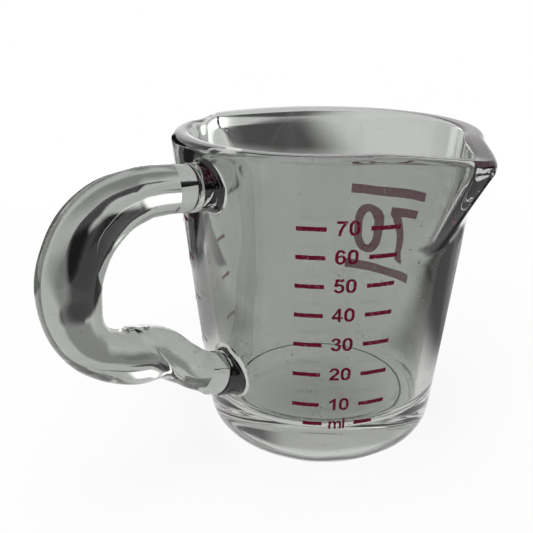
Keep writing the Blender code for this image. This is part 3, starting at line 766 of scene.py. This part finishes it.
def shown_rays(nodes, links):
    """1 on the rays that show the set in the view, in glass and in gloss, and 0 on its light."""
    path = nodes.new("ShaderNodeLightPath")
    shown = path.outputs["Is Camera Ray"]
    for kind in ("Is Glossy Ray", "Is Transmission Ray"):
        either = nodes.new("ShaderNodeMath")
        either.operation = "MAXIMUM"
        links.new(shown, either.inputs[0])
        links.new(path.outputs[kind], either.inputs[1])
        shown = either.outputs[0]
    return shown


def pale_floor():
    """A matt pale floor that shows white, but for a faint shadow round the jug and a painted pool of
    light under its heel.
    """
    material = bpy.data.materials.new("pale_floor")
    material.use_nodes = True
    nodes = material.node_tree.nodes
    links = material.node_tree.links
    matt = nodes["Principled BSDF"]
    matt.inputs["Base Color"].default_value = (0.82, 0.82, 0.81, 1.0)
    matt.inputs["Roughness"].default_value = 0.9
    glow = nodes.new("ShaderNodeEmission")
    glow.inputs["Color"].default_value = (1.0, 1.0, 1.0, 1.0)
    glow.inputs["Strength"].default_value = 1.0
    place = nodes.new("ShaderNodeTexCoord")
    away = nodes.new("ShaderNodeVectorMath")
    away.operation = "LENGTH"
    reach = nodes.new("ShaderNodeMath")
    reach.operation = "MULTIPLY"
    reach.inputs[1].default_value = FLOOR_FADE_PER_METRE
    fade = nodes.new("ShaderNodeValToRGB")
    stops = fade.color_ramp.elements
    for position, _ in FLOOR_FADE[1:-1]:
        stops.new(position)
    for stop, (position, tone) in zip(stops, FLOOR_FADE):
        stop.position = position
        stop.color = (tone, tone, tone, 1.0)
    share = nodes.new("ShaderNodeMath")
    share.operation = "MULTIPLY"
    blend = nodes.new("ShaderNodeMixShader")
    links.new(place.outputs["Object"], away.inputs[0])
    links.new(away.outputs["Value"], reach.inputs[0])
    links.new(reach.outputs[0], fade.inputs["Fac"])
    links.new(shown_rays(nodes, links), share.inputs[0])
    links.new(fade.outputs["Color"], share.inputs[1])
    links.new(share.outputs[0], blend.inputs["Fac"])
    links.new(matt.outputs["BSDF"], blend.inputs[1])
    links.new(glow.outputs["Emission"], blend.inputs[2])
    links.new(blend.outputs["Shader"], nodes["Material Output"].inputs["Surface"])
    return material


def white_studio():
    """A world that shows pure white and lights the jug a little less."""
    world = bpy.data.worlds.new("studio")
    world.use_nodes = True
    nodes = world.node_tree.nodes
    links = world.node_tree.links
    sky = nodes["Background"]
    sky.inputs["Color"].default_value = (1.0, 1.0, 1.0, 1.0)
    level = nodes.new("ShaderNodeMapRange")
    level.inputs["To Min"].default_value = UNSEEN_WORLD
    level.inputs["To Max"].default_value = 1.0
    links.new(shown_rays(nodes, links), level.inputs["Value"])
    links.new(level.outputs["Result"], sky.inputs["Strength"])
    return world


def set_out(turn, distance, height):
    """A place on the set; turn is in degrees to the right of straight behind the jug."""
    heading = VIEW_HEADING - math.radians(turn)
    return Vector((-math.sin(heading) * distance, math.cos(heading) * distance, height))


def soft_box(name, place, width, height, brightness):
    """A lamp that faces the jug and gives its light only: neither view nor glass shows it."""
    bpy.ops.object.light_add(type="AREA", location=place)
    lamp = bpy.context.object
    lamp.name = name
    aim = Vector((0.0, 0.0, CUP_HEIGHT / 2.0))
    lamp.rotation_euler = (aim - Vector(place)).to_track_quat("-Z", "Y").to_euler()
    lamp.data.shape = "RECTANGLE"
    lamp.data.size = width
    lamp.data.size_y = height
    lamp.data.energy = brightness * math.pi * width * height
    lamp.visible_camera = False
    lamp.visible_glossy = False
    lamp.visible_transmission = False


def card(name, place, rotation, width, length, tone, softness):
    """A soft-edged card that only the glass shows, dark at a low tone and bright over 1."""
    bpy.ops.mesh.primitive_plane_add(size=1.0)
    sheet = bpy.context.object
    sheet.name = name
    sheet.scale = (width, length, 1.0)
    sheet.rotation_euler = [math.radians(angle) for angle in rotation]
    sheet.location = place
    bpy.ops.object.transform_apply(location=True, rotation=True, scale=True)
    sheet.visible_camera = False
    sheet.visible_diffuse = False
    sheet.visible_shadow = False
    material = bpy.data.materials.new(name)
    material.use_nodes = True
    nodes = material.node_tree.nodes
    links = material.node_tree.links
    face = nodes["Principled BSDF"]
    face.inputs["Base Color"].default_value = (0.01, 0.01, 0.01, 1.0)
    face.inputs["Roughness"].default_value = 1.0
    face.inputs["Specular IOR Level"].default_value = 0.0
    face.inputs["Emission Color"].default_value = (1.0, 1.0, 1.0, 1.0)
    face.inputs["Emission Strength"].default_value = tone
    spot = nodes.new("ShaderNodeUVMap")
    split = nodes.new("ShaderNodeSeparateXYZ")
    links.new(spot.outputs["UV"], split.inputs[0])
    edges = []
    for axis in ("X", "Y"):
        rise = nodes.new("ShaderNodeMath")
        rise.operation = "PINGPONG"
        rise.inputs[1].default_value = 0.5
        edge = nodes.new("ShaderNodeMapRange")
        edge.interpolation_type = "SMOOTHSTEP"
        edge.inputs["From Max"].default_value = softness
        links.new(split.outputs[axis], rise.inputs[0])
        links.new(rise.outputs[0], edge.inputs["Value"])
        edges.append(edge)
    cover = nodes.new("ShaderNodeMath")
    cover.operation = "MULTIPLY"
    clear = nodes.new("ShaderNodeBsdfTransparent")
    blend = nodes.new("ShaderNodeMixShader")
    links.new(edges[0].outputs["Result"], cover.inputs[0])
    links.new(edges[1].outputs["Result"], cover.inputs[1])
    links.new(cover.outputs[0], blend.inputs["Fac"])
    links.new(clear.outputs["BSDF"], blend.inputs[1])
    links.new(face.outputs["BSDF"], blend.inputs[2])
    links.new(blend.outputs["Shader"], nodes["Material Output"].inputs["Surface"])
    sheet.data.materials.append(material)


deselect_all()
bpy.ops.mesh.primitive_plane_add(size=FLOOR_SIZE, location=(0, 0, -FLOOR_DROP))
floor = bpy.context.object
floor.name = "floor"
bpy.ops.object.transform_apply(location=True, rotation=True, scale=True)
floor.data.materials.append(pale_floor())
bpy.context.scene.world = white_studio()

# Each card's place and size are in metres, and its turn is in degrees; its tone and the softness
# of its edge come last.
card("card_behind_left", (-0.095, 0.315, 0.0010), (0, 0, -19), 0.34, 0.36, 0.01, 0.03)
card("card_behind_near", (-0.004, 0.134, 0.0015), (0, 0, 0), 0.07, 0.08, 0.01, 0.08)
card("card_standing_left", (0.010, 0.480, 0.085), (90, 0, 0), 0.38, 0.22, 0.01, 0.10)
card("card_near_left", (-0.018, 0.074, 0.0020), (0, 0, 0), 0.08, 0.07, 0.42, 0.20)
# This dark sheet on the floor to the right is a painted shadow: it lies where the jug's shadow falls
# and deepens it in the glass.
card("card_painted_shadow_right", (0.140, -0.033, 0.0010), (0, 0, 10), 0.22, 0.13, 0.09, 0.14)
card("card_far", (0.225, 0.285, 0.0010), (0, 0, -38), 0.15, 0.22, 0.12, 0.30)
card("card_middle", (0.103, 0.200, 0.0025), (0, 0, 0), 0.05, 0.05, 0.02, 0.50)
card("card_above", (0.150, 0.200, 0.3800), (0, 0, 0), 0.10, 0.10, 0.02, 0.30)
card("card_ceiling", (0.250, 0.280, 0.4500), (0, 0, -42), 1.00, 0.90, 0.62, 0.20)
card("card_behind_view", (-0.300, -0.290, 0.150), (90, 0, -45), 0.60, 0.50, 0.05, 0.30)
card("card_front_right", (0.200, -0.450, 0.150), (90, 0, 20), 0.60, 0.50, 0.05, 0.30)
card("card_high_right", set_out(34.0, 0.50, 0.33), (57, 0, -76), 0.36, 0.15, 0.08, 0.35)
card("card_high_middle", set_out(3.0, 0.50, 0.36), (54, 0, -45), 0.18, 0.06, 0.10, 0.40)
card("window_behind", (0.163, 0.340, 0.060), (90, 0, -31), 0.17, 0.16, 3.20, 0.30)
card("window_left", set_out(-56.0, 0.50, 0.25), (60, 0, -8), 0.12, 0.16, 3.00, 0.45)

# Place and size in metres, and brightness.
soft_box("ceiling_light", (-0.10, -0.11, 0.60), 0.30, 0.30, 4.0)
soft_box("key_light", (-0.45, -0.10, 0.50), 0.30, 0.30, 3.5)

bpy.context.scene.view_settings.view_transform = "Standard"
